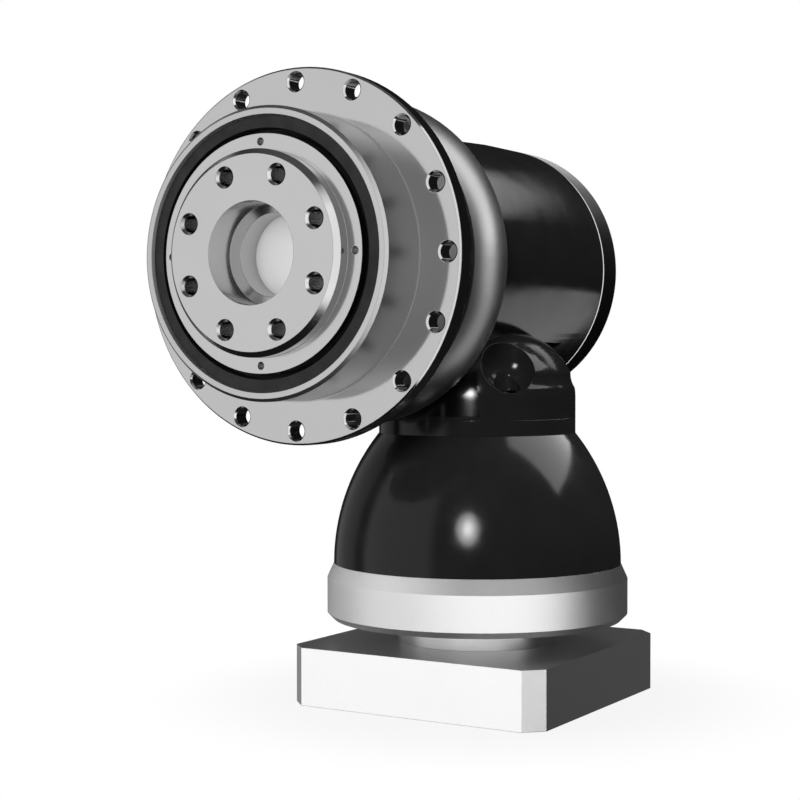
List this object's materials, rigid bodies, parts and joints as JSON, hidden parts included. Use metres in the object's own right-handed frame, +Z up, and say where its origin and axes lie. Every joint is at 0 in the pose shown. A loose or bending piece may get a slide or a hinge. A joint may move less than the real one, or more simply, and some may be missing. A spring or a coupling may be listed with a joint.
{
  "type": "right angle planetary gearbox",
  "caption": "Right angle planetary gearbox with a square motor plate below and a bored output flange facing sideways; an offset pinion and crown gear drive the planet stage.",
  "frame": {"origin": "centre of the motor plate's underside, on the input axis", "axes": "+Z up the input axis, -Y out of the output flange, +X to the side away from the output axis"},
  "size_m": [0.1335, 0.1653, 0.2068],
  "materials": {
    "polished_steel": "turned and polished",
    "output_steel": "fine turned",
    "satin_grey": "satin",
    "gloss_black": "gloss",
    "dark_cover": "satin",
    "bright_shim": "bright",
    "seal_rubber": "matt",
    "blasted_silver": "sandblasted",
    "collar_grey": "turned",
    "plate_silver": "sandblasted",
    "gear_steel": "ground",
    "bearing_steel": "ground",
    "screw_black": "blackened"
  },
  "bodies": {
    "housing": {"output_housing": "polished_steel", "output_seal": "seal_rubber", "main_bearing_outer": "bearing_steel", "ring_gear": "gear_steel", "gear_body": "satin_grey", "angle_housing": "gloss_black", "rear_cover": "dark_cover", "rear_shim": "bright_shim", "rear_cover_screws": "screw_black", "shaft_front_bearing_outer": "bearing_steel", "shaft_rear_bearing_outer": "bearing_steel", "motor_plate": "plate_silver", "motor_collar": "collar_grey", "input_ring": "blasted_silver", "plate_screws": "screw_black", "bell_housing": "gloss_black", "neck_ring": "gloss_black", "neck_screws": "screw_black", "pinion_upper_bearing_outer": "bearing_steel", "pinion_lower_bearing_outer": "bearing_steel", "input_seal": "seal_rubber", "access_plug": "seal_rubber"},
    "output": {"output_flange": "output_steel", "bore_cap": "output_steel", "main_bearing_inner": "bearing_steel", "bearing_nut": "gear_steel", "carrier_plate": "gear_steel", "carrier_screws": "screw_black", "planet_pins": "bearing_steel"},
    "roller_set": {"bearing_rollers": "bearing_steel"},
    "planet_one": {"planet_gear_1": "gear_steel", "planet_needle_shell_1": "bearing_steel"},
    "planet_two": {"planet_gear_2": "gear_steel", "planet_needle_shell_2": "bearing_steel"},
    "planet_three": {"planet_gear_3": "gear_steel", "planet_needle_shell_3": "bearing_steel"},
    "sun": {"sun_shaft": "gear_steel", "crown_gear": "gear_steel", "crown_screws": "screw_black", "shaft_front_bearing_inner": "bearing_steel", "shaft_rear_bearing_inner": "bearing_steel"},
    "pinion": {"pinion_shaft": "gear_steel", "pinion_upper_bearing_inner": "bearing_steel", "pinion_lower_bearing_inner": "bearing_steel", "pinion_nut": "gear_steel", "clamp_ring": "gear_steel", "clamp_screw": "screw_black"}
  },
  "joints": [
    {"name": "output_spin", "type": "hinge", "parent": "housing", "child": "output", "pos_m": [-0.023, 0, 0.1478], "axis": [0, -1, 0], "continuous": true},
    {"name": "roller_orbit", "type": "hinge", "parent": "housing", "child": "roller_set", "pos_m": [-0.023, 0, 0.1478], "axis": [0, -1, 0], "continuous": true},
    {"name": "planet_one_spin", "type": "hinge", "parent": "output", "child": "planet_one", "pos_m": [-0.023, 0, 0.1703], "axis": [0, -1, 0], "continuous": true},
    {"name": "planet_two_spin", "type": "hinge", "parent": "output", "child": "planet_two", "pos_m": [-0.04249, 0, 0.13655], "axis": [0, -1, 0], "continuous": true},
    {"name": "planet_three_spin", "type": "hinge", "parent": "output", "child": "planet_three", "pos_m": [-0.00351, 0, 0.13655], "axis": [0, -1, 0], "continuous": true},
    {"name": "sun_spin", "type": "hinge", "parent": "housing", "child": "sun", "pos_m": [-0.023, 0, 0.1478], "axis": [0, -1, 0], "continuous": true},
    {"name": "pinion_spin", "type": "hinge", "parent": "housing", "child": "pinion", "pos_m": [0, 0, 0], "axis": [0, 0, 1], "continuous": true}
  ],
  "couplings": [
    {"joint": "roller_orbit", "follows": "output_spin", "ratio": 0.47681},
    {"joint": "planet_one_spin", "follows": "output_spin", "ratio": -2.6667},
    {"joint": "planet_two_spin", "follows": "output_spin", "ratio": -2.6667},
    {"joint": "planet_three_spin", "follows": "output_spin", "ratio": -2.6667},
    {"joint": "sun_spin", "follows": "output_spin", "ratio": 5},
    {"joint": "pinion_spin", "follows": "output_spin", "ratio": -15}
  ]
}
